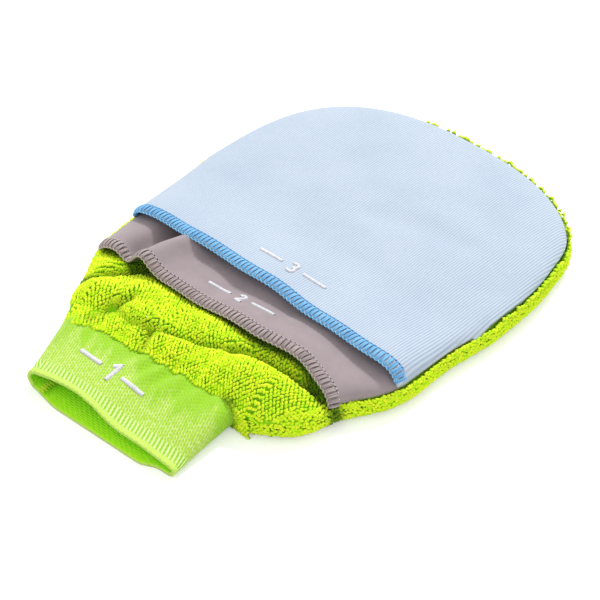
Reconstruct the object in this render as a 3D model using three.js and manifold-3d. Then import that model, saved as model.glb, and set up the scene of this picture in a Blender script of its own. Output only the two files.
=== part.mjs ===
// Three-layer wash mitt: two looped terry panels sewn into a hand pocket, a smooth polishing layer
// and a ribbed glass layer lying over the front panel, and a stretch cuff on the wrist end.
// Millimetres, +Y from the cuff mouth to the finger tip, +Z up, lying on its back panel at z = 0.
// The origin is under the middle of the mitt. A station is a distance from the cuff mouth.

import * as THREE from "three";
import { mergeVertices } from "three/addons/utils/BufferGeometryUtils.js";
import Module from "manifold-3d";

const wasm = await Module();
wasm.setup();

// Overall outline
const mittLength = 240;
const mittWidth = 176;
const wideStation = 146;
const sideTaper = 0.15; // share of the half width lost for each 100 mm towards the cuff
const shoulderLength = 40;
const tipFlatWidth = 40;
const sideRoundness = 2.36; // powers of the super-ellipse that rounds the finger end
const tipRoundness = 3.29;

// Terry panels and the hand space between them
const terryThickness = 4.5;
const handSpaceRise = 7; // extra height of the hand space over the middle
const crownPower = 5;

// Layers over the front panel
const layerThickness = 1.5;
const layerInset = 3;
const polishingHemStation = 67;
const glassHemStation = 91.5;

// Stitching
const sideSeamDiameter = 2.2;
const sideSeamInset = 5;
const overlockWidth = 5.5;
const overlockThickness = 1.9;
const needleThreadWidth = 0.8;
const needleThreadHeight = 0.5;
const needleThreadInset = 1;

// Cuff
const cuffLength = 31;
const cuffMouthWidth = 81;
const cuffNeckWidth = 96;
const cuffHeight = 16;
const cuffWall = 2;
const joiningSeamLength = 2.7;
const joiningSeamWall = 3;
const cuffSeamWidth = 3.2;
const cuffSeamHeight = 1.5;
const cuffSeamOffset = 31; // from the middle plane to the middle of the cuff's own seam
const cuffSeamEndInset = 0.6;

// Embroidered numbers
const satinHeight = 0.9;
const numberGap = 3; // clear space between the figure and the bar on each side
const linkWidth = 0.4; // travel thread that joins the bars to the figure
const linkHeight = 0.3;
const numbers = [
  { name: "cuff_numeral", digit: 1, width: 38, height: 11, stroke: 1.8, x: -11.5, tilt: 0 },
  { name: "polishing_numeral", digit: 2, width: 36, height: 6.4, stroke: 1.3, x: 0.5, tilt: 6 },
  { name: "glass_numeral", digit: 3, width: 37, height: 7.6, stroke: 1.4, x: 5, tilt: 3 },
];
const cuffNumeralStation = 18.5;
const polishingNumeralSetback = 12; // from the glass hem back to the middle of the number
const glassNumeralSetback = 16; // from the glass hem on to the middle of the number

// Fit
const seatGap = 0.3;

// Fineness of the solids
const acrossSteps = 18;
const lowerRows = 8;
const upperRows = 9;
const roundSteps = 48;
const seamSteps = 56;
const threadSides = 8;
const strokeSides = 12;

// Heights, each from the one below it
const neckStation = cuffLength + seatGap + joiningSeamLength + seatGap;
const backTop = terryThickness;
const frontEdge = backTop + seatGap + sideSeamDiameter + seatGap;
const polishingEdge = frontEdge + terryThickness + seatGap;
const glassEdge = polishingEdge + layerThickness + seatGap;

const yAt = (station) => station - mittLength / 2;

// Half the mitt's width at a station, drawn in by inset on the sides and at the tip
function halfWidth(station, inset) {
  const reach = (station - wideStation) / (mittLength - inset - wideStation);
  if (reach > 0) {
    const round = Math.max(0, 1 - reach ** tipRoundness) ** (1 / sideRoundness);
    return Math.max(tipFlatWidth / 2, (mittWidth / 2 - inset) * round);
  }
  const tapered = (mittWidth / 2) * (1 - (sideTaper * (wideStation - station)) / 100);
  const shoulder = Math.min(1, Math.max(0, (station - neckStation) / shoulderLength));
  const neck = cuffNeckWidth / 2;
  return neck + (tapered - neck) * Math.sin((shoulder * Math.PI) / 2) - inset;
}

// How far the hand space lifts the cloth above its sewn edge
function crownRise(x, station) {
  const side = Math.min(1, Math.abs(x) / halfWidth(station, 0));
  const reach = Math.max(0, (station - wideStation) / (mittLength - wideStation));
  return handSpaceRise * (1 - side ** crownPower) * (1 - reach ** crownPower);
}

// Rows run evenly up to the widest line and close up towards the rounded tip
function stationOfRow(share, from, to) {
  const split = lowerRows / (lowerRows + upperRows);
  if (to <= wideStation) return from + (to - from) * share;
  if (share <= split) return from + ((wideStation - from) * share) / split;
  const rest = (share - split) / (1 - split);
  return wideStation + (to - wideStation) * (1 - (1 - rest) ** 1.8);
}

// A cloth that follows the crown: a box whose corners and rows are laid on the outline
function crownedCloth({ from, to, inset, edgeHeight, thickness, rows }) {
  const geometry = new THREE.BoxGeometry(2, 1, 1, acrossSteps, rows, 1);
  const place = geometry.attributes.position;
  for (let i = 0; i < place.count; i += 1) {
    const station = stationOfRow(place.getY(i) + 0.5, from, to);
    const x = place.getX(i) * halfWidth(station, inset);
    const lift = edgeHeight + crownRise(x, station) + (place.getZ(i) + 0.5) * thickness;
    place.setXYZ(i, x, yAt(station), lift);
  }
  return geometry;
}

function outlinePoints(inset, from, rows) {
  const right = [];
  for (let row = 0; row <= rows; row += 1) {
    const station = stationOfRow(row / rows, from, mittLength - inset);
    right.push(new THREE.Vector2(halfWidth(station, inset), yAt(station)));
  }
  const left = right.map((point) => new THREE.Vector2(-point.x, point.y)).reverse();
  return right.concat(left);
}

function backPanel() {
  const shape = new THREE.Shape(outlinePoints(0, neckStation, lowerRows + upperRows));
  return new THREE.ExtrudeGeometry(shape, { depth: terryThickness, bevelEnabled: false });
}

// The seam inside the pocket: a round cord of thread and turned-in edges between the two panels
function sideSeam() {
  const height = backTop + seatGap + sideSeamDiameter / 2;
  const points = outlinePoints(sideSeamInset, neckStation + seatGap, lowerRows + upperRows);
  const path = new THREE.CatmullRomCurve3(
    points.map((point) => new THREE.Vector3(point.x, point.y, height)),
    false,
    "centripetal",
  );
  const section = new THREE.Shape();
  section.absarc(0, 0, sideSeamDiameter / 2, 0, Math.PI * 2);
  return new THREE.ExtrudeGeometry(section, {
    steps: seamSteps,
    curveSegments: threadSides,
    extrudePath: path,
  });
}

function toSolid(geometry) {
  const bare = geometry.clone();
  bare.deleteAttribute("normal");
  bare.deleteAttribute("uv");
  const merged = mergeVertices(bare, 1e-4);
  return new wasm.Manifold(
    new wasm.Mesh({
      numProp: 3,
      vertProperties: new Float32Array(merged.attributes.position.array),
      triVerts: new Uint32Array(merged.index.array),
    }),
  );
}

function toGeometry(solid) {
  const mesh = solid.getMesh();
  const geometry = new THREE.BufferGeometry();
  geometry.setAttribute("position", new THREE.BufferAttribute(mesh.vertProperties, 3));
  geometry.setIndex(new THREE.BufferAttribute(mesh.triVerts, 1));
  geometry.computeVertexNormals();
  return geometry;
}

// A flat-sided oval bar along Y: a cylinder whose circle is parted in the middle
function ovalBar({ from, to, startWidth, endWidth, height, floor }) {
  const geometry = new THREE.CylinderGeometry(1, 1, 1, roundSteps, 1);
  geometry.rotateX(Math.PI);
  const place = geometry.attributes.position;
  const radius = height / 2;
  for (let i = 0; i < place.count; i += 1) {
    const share = place.getY(i) + 0.5;
    const width = startWidth + (endWidth - startWidth) * share;
    const side = Math.abs(place.getX(i)) < 1e-6 ? 0 : Math.sign(place.getX(i));
    const x = side * (width / 2 - radius) + place.getX(i) * radius;
    place.setXYZ(i, x, yAt(from + (to - from) * share), floor + radius + place.getZ(i) * radius);
  }
  return toSolid(geometry);
}

function ovalTube({ from, to, startWidth, endWidth, height, wall }) {
  const over = 1;
  const flare = ((endWidth - startWidth) / (to - from)) * over;
  const outer = ovalBar({ from, to, startWidth, endWidth, height, floor: 0 });
  const inner = ovalBar({
    from: from - over,
    to: to + over,
    startWidth: startWidth - flare - 2 * wall,
    endWidth: endWidth + flare - 2 * wall,
    height: height - 2 * wall,
    floor: wall,
  });
  return toGeometry(outer.subtract(inner));
}

function cuffWebbing() {
  return ovalTube({
    from: 0,
    to: cuffLength,
    startWidth: cuffMouthWidth,
    endWidth: cuffNeckWidth,
    height: cuffHeight,
    wall: cuffWall,
  });
}

function cuffJoiningSeam() {
  const from = cuffLength + seatGap;
  return ovalTube({
    from,
    to: from + joiningSeamLength,
    startWidth: cuffNeckWidth,
    endWidth: cuffNeckWidth,
    height: cuffHeight,
    wall: joiningSeamWall,
  });
}

// The cuff strip is closed to a tube by a seam that lies inside, on the lower wall
function cuffSideSeam() {
  const length = cuffLength - 2 * cuffSeamEndInset;
  const geometry = new THREE.BoxGeometry(cuffSeamWidth, length, cuffSeamHeight);
  const middle = yAt(cuffLength / 2);
  return geometry.translate(-cuffSeamOffset, middle, cuffWall + seatGap + cuffSeamHeight / 2);
}

// Centre lines of the figures in a box one unit high, with their own width
function figureLines(digit) {
  const arc = (x, y, radius, start, end) =>
    new THREE.ArcCurve(x, y, radius, start, end, end < start).getPoints(10);
  if (digit === 1) {
    return { width: 0.3, lines: [[[0, 0.76], [0.3, 1], [0.3, 0]]] };
  }
  if (digit === 2) {
    const bow = arc(0.27, 0.73, 0.27, Math.PI * 0.95, -Math.PI * 0.2).map((p) => [p.x, p.y]);
    return { width: 0.56, lines: [[...bow, [0, 0], [0.56, 0]]] };
  }
  const upper = arc(0.26, 0.75, 0.25, Math.PI * 0.85, -Math.PI * 0.5).map((p) => [p.x, p.y]);
  const lower = arc(0.26, 0.26, 0.26, Math.PI * 0.5, -Math.PI * 0.85).map((p) => [p.x, p.y]);
  return { width: 0.52, lines: [[...upper, ...lower]] };
}

// A raised line of satin stitch through the given points
function satinLine(points, width, height) {
  let line = null;
  const join = (geometry) => {
    const solid = toSolid(geometry);
    line = line ? line.add(solid) : solid;
  };
  points.forEach(([x, y], index) => {
    const end = new THREE.CylinderGeometry(width / 2, width / 2, height, strokeSides);
    join(end.rotateX(Math.PI / 2).translate(x, y, height / 2));
    if (index === 0) return;
    const [lastX, lastY] = points[index - 1];
    const run = Math.hypot(x - lastX, y - lastY);
    if (run < 1e-6) return;
    const bar = new THREE.BoxGeometry(run, width, height);
    bar.rotateZ(Math.atan2(y - lastY, x - lastX));
    join(bar.translate((x + lastX) / 2, (y + lastY) / 2, height / 2));
  });
  return line;
}

function embroideredNumber({ digit, width, height, stroke, tilt }) {
  const figure = figureLines(digit);
  const size = height - stroke;
  const half = (figure.width * size) / 2;
  const inner = half + stroke / 2 + numberGap + stroke / 2;
  const outer = width / 2 - stroke / 2;
  let body = satinLine([[-outer, 0], [-inner, 0]], stroke, satinHeight);
  body = body.add(satinLine([[inner, 0], [outer, 0]], stroke, satinHeight));
  body = body.add(satinLine([[-inner, 0], [inner, 0]], linkWidth, linkHeight));
  for (const points of figure.lines) {
    const placed = points.map(([x, y]) => [x * size - half, (y - 0.5) * size]);
    body = body.add(satinLine(placed, stroke, satinHeight));
  }
  return toGeometry(body).rotateZ(THREE.MathUtils.degToRad(tilt));
}

function needleThread(hemStation, edgeHeight) {
  const from = hemStation + overlockWidth + needleThreadInset;
  return crownedCloth({
    from,
    to: from + needleThreadWidth,
    inset: layerInset,
    edgeHeight: edgeHeight + layerThickness + seatGap,
    thickness: needleThreadHeight,
    rows: 1,
  });
}

function hemOverlock(hemStation, edgeHeight) {
  return crownedCloth({
    from: hemStation,
    to: hemStation + overlockWidth,
    inset: layerInset,
    edgeHeight,
    thickness: overlockThickness,
    rows: 1,
  });
}

function layerPanel(hemStation, edgeHeight) {
  return crownedCloth({
    from: hemStation + overlockWidth + seatGap,
    to: mittLength - layerInset,
    inset: layerInset,
    edgeHeight,
    thickness: layerThickness,
    rows: lowerRows + upperRows,
  });
}

function frontPanel() {
  return crownedCloth({
    from: neckStation,
    to: mittLength,
    inset: 0,
    edgeHeight: frontEdge,
    thickness: terryThickness,
    rows: lowerRows + upperRows,
  });
}

const finish = {
  terry: { color: 0xbcdc1e, roughness: 0.95, metalness: 0 },
  suede: { color: 0xa89ea1, roughness: 0.9, metalness: 0 },
  ribbed: { color: 0xc9daec, roughness: 0.7, metalness: 0 },
  webbing: { color: 0xc4e65c, roughness: 0.85, metalness: 0 },
  greenThread: { color: 0xa9d41f, roughness: 0.8, metalness: 0 },
  greyThread: { color: 0xb9afb2, roughness: 0.8, metalness: 0 },
  blueThread: { color: 0x6fb4e4, roughness: 0.7, metalness: 0 },
  whiteThread: { color: 0xf4f6f7, roughness: 0.6, metalness: 0 },
};

const mitt = new THREE.Group();

function addPiece(group, name, geometry, look) {
  const mesh = new THREE.Mesh(geometry, new THREE.MeshStandardMaterial(look));
  mesh.name = name;
  group.add(mesh);
  return mesh;
}

const [cuffNumber, polishingNumber, glassNumber] = numbers;

function addNumber(group, number, station, height) {
  const mesh = addPiece(group, number.name, embroideredNumber(number), finish.whiteThread);
  mesh.position.set(number.x, yAt(station), height + seatGap);
}

// Hand pocket
const pocket = new THREE.Group();
addPiece(pocket, "back_panel", backPanel(), finish.terry);
addPiece(pocket, "front_panel", frontPanel(), finish.terry);
addPiece(pocket, "side_seam", sideSeam(), finish.greenThread);
addPiece(pocket, "cuff_joining_seam", cuffJoiningSeam(), finish.greenThread);
mitt.add(pocket);

// Cuff
const cuff = new THREE.Group();
addPiece(cuff, "cuff_webbing", cuffWebbing(), finish.webbing);
addPiece(cuff, "cuff_side_seam", cuffSideSeam(), finish.greenThread);
addNumber(cuff, cuffNumber, cuffNumeralStation, cuffHeight);
mitt.add(cuff);

// Polishing layer
const polishing = new THREE.Group();
const polishingTop = polishingEdge + handSpaceRise + layerThickness;
addPiece(polishing, "polishing_panel", layerPanel(polishingHemStation, polishingEdge), finish.suede);
addPiece(
  polishing,
  "polishing_hem_overlock",
  hemOverlock(polishingHemStation, polishingEdge),
  finish.greyThread,
);
addPiece(
  polishing,
  "polishing_needle_thread",
  needleThread(polishingHemStation, polishingEdge),
  finish.greyThread,
);
const polishingNumberStation = glassHemStation - polishingNumeralSetback;
addNumber(polishing, polishingNumber, polishingNumberStation, polishingTop);
mitt.add(polishing);

// Glass layer
const glass = new THREE.Group();
const glassTop = glassEdge + handSpaceRise + layerThickness;
addPiece(glass, "glass_panel", layerPanel(glassHemStation, glassEdge), finish.ribbed);
addPiece(glass, "glass_hem_overlock", hemOverlock(glassHemStation, glassEdge), finish.blueThread);
addPiece(glass, "glass_needle_thread", needleThread(glassHemStation, glassEdge), finish.blueThread);
addNumber(glass, glassNumber, glassHemStation + glassNumeralSetback, glassTop);
mitt.add(glass);

export default mitt;
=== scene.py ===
import math

import bmesh
import bpy
import numpy as np
from mathutils import Matrix, Vector


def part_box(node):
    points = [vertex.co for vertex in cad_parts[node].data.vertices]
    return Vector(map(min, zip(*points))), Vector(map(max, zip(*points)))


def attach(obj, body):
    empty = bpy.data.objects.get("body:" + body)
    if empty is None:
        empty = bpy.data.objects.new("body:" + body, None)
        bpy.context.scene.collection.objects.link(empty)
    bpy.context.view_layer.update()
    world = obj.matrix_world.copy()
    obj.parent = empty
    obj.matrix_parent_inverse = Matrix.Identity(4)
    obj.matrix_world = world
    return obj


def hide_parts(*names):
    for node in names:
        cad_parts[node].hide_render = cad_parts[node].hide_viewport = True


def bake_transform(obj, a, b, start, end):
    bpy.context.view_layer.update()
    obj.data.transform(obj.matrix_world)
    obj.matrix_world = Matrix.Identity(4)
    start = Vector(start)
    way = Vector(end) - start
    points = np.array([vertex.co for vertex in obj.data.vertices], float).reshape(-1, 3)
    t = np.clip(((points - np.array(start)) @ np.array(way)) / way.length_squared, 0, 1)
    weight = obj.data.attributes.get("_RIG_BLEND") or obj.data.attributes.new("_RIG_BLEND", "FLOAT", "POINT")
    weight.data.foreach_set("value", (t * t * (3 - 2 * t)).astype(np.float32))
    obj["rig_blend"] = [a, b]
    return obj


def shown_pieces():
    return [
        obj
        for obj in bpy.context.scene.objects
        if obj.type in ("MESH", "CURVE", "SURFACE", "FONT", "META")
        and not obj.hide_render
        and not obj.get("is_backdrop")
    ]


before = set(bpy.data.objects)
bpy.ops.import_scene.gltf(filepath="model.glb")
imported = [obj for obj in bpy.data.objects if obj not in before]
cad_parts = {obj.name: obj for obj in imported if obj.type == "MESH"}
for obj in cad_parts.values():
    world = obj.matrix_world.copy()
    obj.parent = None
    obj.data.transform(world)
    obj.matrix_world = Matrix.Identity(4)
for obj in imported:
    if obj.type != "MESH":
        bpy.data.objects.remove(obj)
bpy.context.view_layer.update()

# Lengths in the settings are millimetres.
# A station is a distance from the cuff mouth towards the finger tip.
mm = 0.001
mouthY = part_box("cuff_webbing")[0].y
neckStation = (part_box("back_panel")[0].y - mouthY) / mm
mittLength = (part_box("back_panel")[1].y - mouthY) / mm
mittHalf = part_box("back_panel")[1].x / mm
cuffEnd = (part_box("cuff_webbing")[1].y - mouthY) / mm
greyHem = (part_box("polishing_hem_overlock")[0].y - mouthY) / mm
blueHem = (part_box("glass_hem_overlock")[0].y - mouthY) / mm
foldLine = {"start": 46, "end": 27}  # the wrist gathers turn between these stations

outline = {
    "wideStation": 146, "sideTaper": 0.15, "shoulder": 40, "neckHalf": 48, "tipHalf": 20,
    "sideRound": 2.36, "tipRound": 3.29, "leftPuff": 8.5, "leftPuffAt": 37, "leftPuffWidth": 12,
    "rightTuck": 8, "rightTuckAt": 68, "rightTuckWidth": 14, "neckTuck": 8, "neckTuckWidth": 9,
    "rightSlim": 3.2, "selvage": 1.6,
}


def smooth(edgeLow, edgeHigh, value):
    t = np.clip((value - edgeLow) / (edgeHigh - edgeLow), 0, 1)
    return t * t * (3 - 2 * t)


def bump(value, centre, width):
    return np.exp(-(((value - centre) / width) ** 2))


def toRow(x, station, z):
    return np.stack([x * mm, mouthY + station * mm, z * mm], axis=-1)


def halfWidth(station):
    o = outline
    station = np.asarray(station, float)
    reach = np.clip((station - o["wideStation"]) / (mittLength - o["wideStation"]), 0, 1)
    tip = mittHalf * np.maximum(0, 1 - reach ** o["tipRound"]) ** (1 / o["sideRound"])
    line = mittHalf * (1 - o["sideTaper"] * (o["wideStation"] - station) / 100)
    shoulder = np.clip((station - neckStation) / o["shoulder"], 0, 1)
    body = o["neckHalf"] + (line - o["neckHalf"]) * np.sin(shoulder * math.pi / 2)
    return np.where(station > o["wideStation"], np.maximum(o["tipHalf"], tip), body)


def sideWidth(x, station):
    # half width with the left side puffed out and the right side drawn in at the gathers
    o = outline
    left = o["leftPuff"] * bump(station, o["leftPuffAt"], o["leftPuffWidth"])
    right = -o["rightTuck"] * bump(station, o["rightTuckAt"], o["rightTuckWidth"])
    right = right - o["neckTuck"] * bump(station, neckStation - 2, o["neckTuckWidth"])
    right = right - o["rightSlim"] * smooth(95, 125, station) * (1 - smooth(190, 215, station))
    return halfWidth(station) + np.where(np.asarray(x) < 0, left, right)


# Heights of the cloths over the floor.
terry = {
    "seamHeight": 5.4, "edgeRise": 5.4, "edgePower": 18, "crown": 4.8, "pile": 1.5, "wall": 1.6,
    "neckAcross": (-56, -44, -38, -28, -15, -7, 2, 12, 22, 33, 44),
    "neckStations": (25, 26.5, 29.5, 31.5, 32.0, 34.5, 34.6, 36.0, 36.2, 38.2, 38.0),
    "coverPower": 40, "coverInset": 1.6, "layerPower": 14, "frontGrid": (120, 130), "backGrid": (90, 100),
    "lobes": [
        (-52, 45, 11, 8, 8.0), (-34, 54, 12, 10, 5.5), (-20, 46, 10, 7, 5.0), (4, 60, 20, 8, 5.0),
        (0, 44, 14, 8, 3.4), (30, 49, 13, 11, 6.0), (48, 54, 15, 10, 6.8), (-62, 60, 7, 6, 2.5),
    ],
    "creases": [
        ([(-70, 44), (-62, 50), (-57, 56), (-52, 63), (-46, 70)], 7.0, 3.0),
        ([(20, 58), (28, 62), (43, 65), (56, 67), (70, 67)], 9.0, 3.0),
        ([(-10, 46), (0, 49.5), (10, 53.5), (20, 58)], 3.6, 2.2),
        ([(-40, 33), (-38, 42), (-33, 50)], 3.6, 2.8),
        ([(-10, 33), (-14, 43)], 3.0, 2.6),
        ([(-14, 43), (-24, 41), (-38, 43)], 2.0, 2.4),
    ],
    "pucker": 0.9, "puckerPitch": 10.5,
}


def pathDistance(x, station, points):
    best = np.full(np.shape(x), 1e9)
    for (ax, ay), (bx, by) in zip(points, points[1:]):
        run = np.array([bx - ax, by - ay], float)
        t = np.clip(((x - ax) * run[0] + (station - ay) * run[1]) / (run @ run), 0, 1)
        best = np.minimum(best, np.hypot(x - ax - t * run[0], station - ay - t * run[1]))
    return best


def edgeFactor(x, station, inset, power):
    # 0 at the sewn edge, 1 inside, rounding over like a stuffed seam
    wide = np.abs(x) * halfWidth(station) / sideWidth(x, station)
    side = np.clip(np.abs(x) / (sideWidth(x, station) - inset), 0, 1)
    tipLength = mittLength - inset - outline["wideStation"]
    reach = np.clip((station - outline["wideStation"]) / tipLength, 0, 1)
    tipSide = reach ** outline["tipRound"] + (wide / (mittHalf - inset)) ** outline["sideRound"]
    side = np.where(station > outline["wideStation"], np.clip(tipSide, 0, 1) ** 0.45, side)
    return np.sqrt(np.maximum(0, 1 - side ** power))


def bedHeight(x, station):
    # the smooth front of the pocket that the two layers lie on
    t = terry
    side = np.clip(np.abs(x) / sideWidth(x, station), 0, 1)
    reach = np.clip((station - outline["wideStation"]) / (mittLength - outline["wideStation"]), 0, 1)
    covered = smooth(greyHem - 6, greyHem + 6, station)
    edge = edgeFactor(x, station, 0, t["edgePower"])
    edge = edge * (1 - covered) + edgeFactor(x, station, t["coverInset"], t["coverPower"]) * covered
    crown = t["crown"] * (1 - side ** 4) * (1 - reach ** 5)
    return t["seamHeight"] + t["edgeRise"] * edge + crown


cuff = {
    "leftMouth": -40.5, "leftNeck": -51.5, "rightMouth": 41.0, "rightNeck": 39.5, "end": cuffEnd + 6.5,
    "height": 10.0, "wall": 1.7, "skew": 0.06, "ribPitch": 1.9, "ribDepth": 0.22, "band": 8.6,
    "lowerLip": 3.0, "upperLip": 2.2, "around": 420, "along": 70, "wrinklePitch": 9.5, "wrinkle": 1.0,
}


def cuffFactor(x, station):
    # how high the cuff stands: open at the left of the mouth, low at its right, full at the gathers
    mouth = 0.74 + 0.36 * (1 - smooth(-7, 12, x)) - 0.22 * (1 - smooth(-43, -26, x))
    neck = 1.34
    share = smooth(2, 34, station)
    return mouth * (1 - share) + neck * share


def cuffTop(x, station):
    c = cuff
    wander = 1.3 * np.sin(station / 9 + x / 13) + 0.8 * np.sin(x / 5.7)
    crease = c["wrinkle"] * np.sin(x * 2 * math.pi / c["wrinklePitch"] + wander)
    body = c["height"] * cuffFactor(x, station)
    return body + crease * smooth(16, 33, station) * (0.6 + 0.4 * np.sin(x / 11 + 1))


def neckLine(x):
    return np.interp(x, terry["neckAcross"], terry["neckStations"])


def frontHeight(x, station):
    # pile tips of the front terry, with its gathers
    t = terry
    height = bedHeight(x, station)
    side = np.clip(np.abs(x) / sideWidth(x, station), 0, 1)
    inside = 1 - side ** 6
    for lobeX, lobeStation, wide, long, rise in t["lobes"]:
        height = height + rise * bump(x, lobeX, wide) * bump(station, lobeStation, long) * inside
    height = height - ridges(x, station, t["creases"]) * inside
    fade = np.exp(-(((station - neckLine(x)) / 8) ** 2))
    wave = np.sin(x * 2 * math.pi / t["puckerPitch"] + 0.8 * np.sin(x / 9))
    height = height + t["pucker"] * wave * fade * inside
    near = smooth(neckLine(x) - 2, neckLine(x) + 6, station)
    height = height - 2.4 * (1 - near)
    overCuff = (1 - smooth(cuffEnd + 4, cuffEnd + 12, station)) * (1 - side ** 9)
    lining = cuffTop(x, station - cuff["skew"] * x) + 1.5
    height = height + overCuff * np.maximum(0, lining - height)
    under = smooth(greyHem - 2, greyHem + 3, station)
    height = height - under * np.maximum(0, height - greyTop(x, station) + 1.5)
    return np.maximum(height, 1.5)


layers = {
    "grey": {
        "hem": greyHem, "inset": 2.6, "thick": 1.0, "over": 1.4, "seam": 0.9, "wave": 0.5, "bow": 4.4,
        "grid": (240, 150),
    },
    "blue": {
        "hem": blueHem, "inset": 2.3, "thick": 1.0, "over": 3.1, "seam": 2.4, "wave": 0.4, "bow": 0.0,
        "grid": (560, 72), "ribPitch": 1.15, "ribHeight": 0.05,
    },
}
greyFolds = [
    ([(-45, 60), (-45, 72), (-44, 80), (-41, 92)], 5.4, 6.6),
    ([(-57, 76), (-54.5, 88), (-52, 104)], -6.2, 5.2),
    ([(-8, 84), (20, 90)], -1.2, 6.0),
]
dimples = [
    ([(2, 160), (20, 168), (46, 172)], 1.1, 7.0), ([(40, 196), (62, 178), (70, 160)], 0.8, 8.0),
    ([(-50, 150), (-20, 190), (10, 214)], 0.5, 12.0), ([(-20, 120), (20, 132), (60, 126)], 0.5, 8.0),
]


def layerEdge(x, station, inset):
    return sideWidth(x, station) - inset


def layerBase(layer, x, station):
    # both layers are caught in the side seam, so they close up towards their edges
    s = layers[layer]
    edge = edgeFactor(x, station, s["inset"], terry["layerPower"])
    return bedHeight(x, station) + s["seam"] + (s["over"] - s["seam"]) * edge, edge


def ridges(x, station, paths):
    # how far the folds along the paths stand up
    total = 0.0
    for points, rise, width in paths:
        total = total + rise * np.exp(-((pathDistance(x, station, points) / width) ** 2))
    return total


def greyTop(x, station):
    base, inside = layerBase("grey", x, station)
    near = 1 - smooth(greyHem, greyHem + 42, station)
    lift = 2.4 * near - 3.4 * bump(x, -55.5, 5.0) * (1 - smooth(greyHem + 4, greyHem + 16, station))
    lift = lift + ridges(x, station, greyFolds)
    lift = lift + 1.3 * bump(x, 30, 30) * near + 0.7 * np.sin(x / 11 + 0.6) * near
    lift = lift - 1.2 * smooth(greyHem + 9, blueHem + 4, station) * near * smooth(-28, -10, x)
    return base + lift * inside


def blueTop(x, station):
    base, inside = layerBase("blue", x, station)
    near = 1 - smooth(blueHem, blueHem + 46, station)
    swell = 0.55 * np.sin(x / 17 + station / 31) + 0.45 * np.sin(station / 23 - x / 29 + 1.3)
    lift = 4.2 * near + swell * smooth(-30, 40, x) + 0.7 * np.sin(x / 13 + 2.0) * near
    lift = lift + 1.6 * bump(x, -38, 12) * near
    return base + (lift - ridges(x, station, dimples)) * inside


def hemStation(layer, x):
    s = layers[layer]
    bow = s["bow"] * (bump(x, 42, 17) - 0.9 * smooth(58, 76, x))
    return s["hem"] + bow + s["wave"] * np.sin(x / 14 + 0.5) + 0.4 * np.sin(x / 5.3)


tops = {"grey": greyTop, "blue": blueTop}


# Mesh helpers

def meshObject(name, mesh):
    piece = bpy.data.objects.new(name, mesh)
    bpy.context.scene.collection.objects.link(piece)
    return piece


def pointsOf(mesh):
    flat = np.zeros(len(mesh.vertices) * 3)
    mesh.vertices.foreach_get("co", flat)
    return flat.reshape(-1, 3)


def storeShare(mesh, name, values):
    share = mesh.attributes.get(name) or mesh.attributes.new(name, "FLOAT", "POINT")
    share.data.foreach_set("value", np.asarray(values, np.float32))


def unit(vectors):
    return vectors / np.linalg.norm(vectors, axis=1, keepdims=True)


def freshMesh(name, shape):
    # keep what was modelled as a mesh
    mesh = bpy.data.meshes.new(name)
    shape.to_mesh(mesh)
    shape.free()
    return mesh


def gridMesh(name, columns, rows, carry):
    # a grid carried to its place; carry gives the points and the cloth's own flat coordinates
    grid = bmesh.new()
    bmesh.ops.create_grid(grid, x_segments=columns, y_segments=rows, size=1)
    mesh = freshMesh(name, grid)
    flat = pointsOf(mesh)
    flat = flat / np.abs(flat).max()
    points, plan = carry(flat[:, 0], flat[:, 1] * 0.5 + 0.5)
    mesh.vertices.foreach_set("co", np.ascontiguousarray(points, np.float32).ravel())
    corners = np.zeros(len(mesh.loops), np.int32)
    mesh.loops.foreach_get("vertex_index", corners)
    flatMap = mesh.uv_layers.new(name="cloth")
    flatMap.data.foreach_set("uv", np.ascontiguousarray(plan[corners] * 0.01, np.float32).ravel())
    mesh.update()
    return mesh


def shadeSmooth(mesh):
    mesh.polygons.foreach_set("use_smooth", [True] * len(mesh.polygons))
    mesh.update()


def thicken(piece, thickness, inward=True, backSlot=0):
    wall = piece.modifiers.new("wall", "SOLIDIFY")
    wall.thickness = thickness * mm
    wall.offset = -1 if inward else 1
    wall.material_offset = backSlot
    wall.use_even_offset = False


def copiesOf(name, template, frames, tints, shadeShares=None):
    # many copies of one small mesh in one piece; lift runs 0 to 1 from its root to its top
    count = len(frames)
    own = pointsOf(template)
    corners = np.zeros(len(template.loops), np.int64)
    template.loops.foreach_get("vertex_index", corners)
    starts = np.zeros(len(template.polygons), np.int64)
    template.polygons.foreach_get("loop_start", starts)
    places = np.einsum("nij,mj->nmi", frames[:, :3, :3], own) + frames[:, None, :3, 3]
    mesh = bpy.data.meshes.new(name)
    mesh.vertices.add(count * len(own))
    mesh.loops.add(count * len(corners))
    mesh.polygons.add(count * len(starts))
    mesh.vertices.foreach_set("co", places.astype(np.float32).ravel())
    step = np.arange(count)[:, None]
    mesh.loops.foreach_set("vertex_index", (corners[None] + step * len(own)).astype(np.int32).ravel())
    mesh.polygons.foreach_set("loop_start", (starts[None] + step * len(corners)).astype(np.int32).ravel())
    mesh.update(calc_edges=True)
    mesh.validate()
    storeShare(mesh, "tint", np.repeat(tints, len(own)))
    rise = (own[:, 2] - own[:, 2].min()) / max(1e-9, np.ptp(own[:, 2]))
    storeShare(mesh, "lift", np.tile(rise, count))
    # painted shade share for each copy, kept in the valley attribute
    if shadeShares is not None:
        storeShare(mesh, "valley", np.repeat(shadeShares, len(own)))
    shadeSmooth(mesh)
    return meshObject(name, mesh)


def framesAt(points, normals, along):
    # 4 by 4 frames: y runs along, z runs out of the cloth
    normals = unit(normals)
    side = unit(np.cross(along, normals))
    ahead = np.cross(normals, side)
    frames = np.zeros((len(points), 4, 4))
    frames[:, :3, 0] = side
    frames[:, :3, 1] = ahead
    frames[:, :3, 2] = normals
    frames[:, :3, 3] = points
    frames[:, 3, 3] = 1
    return frames


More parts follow.
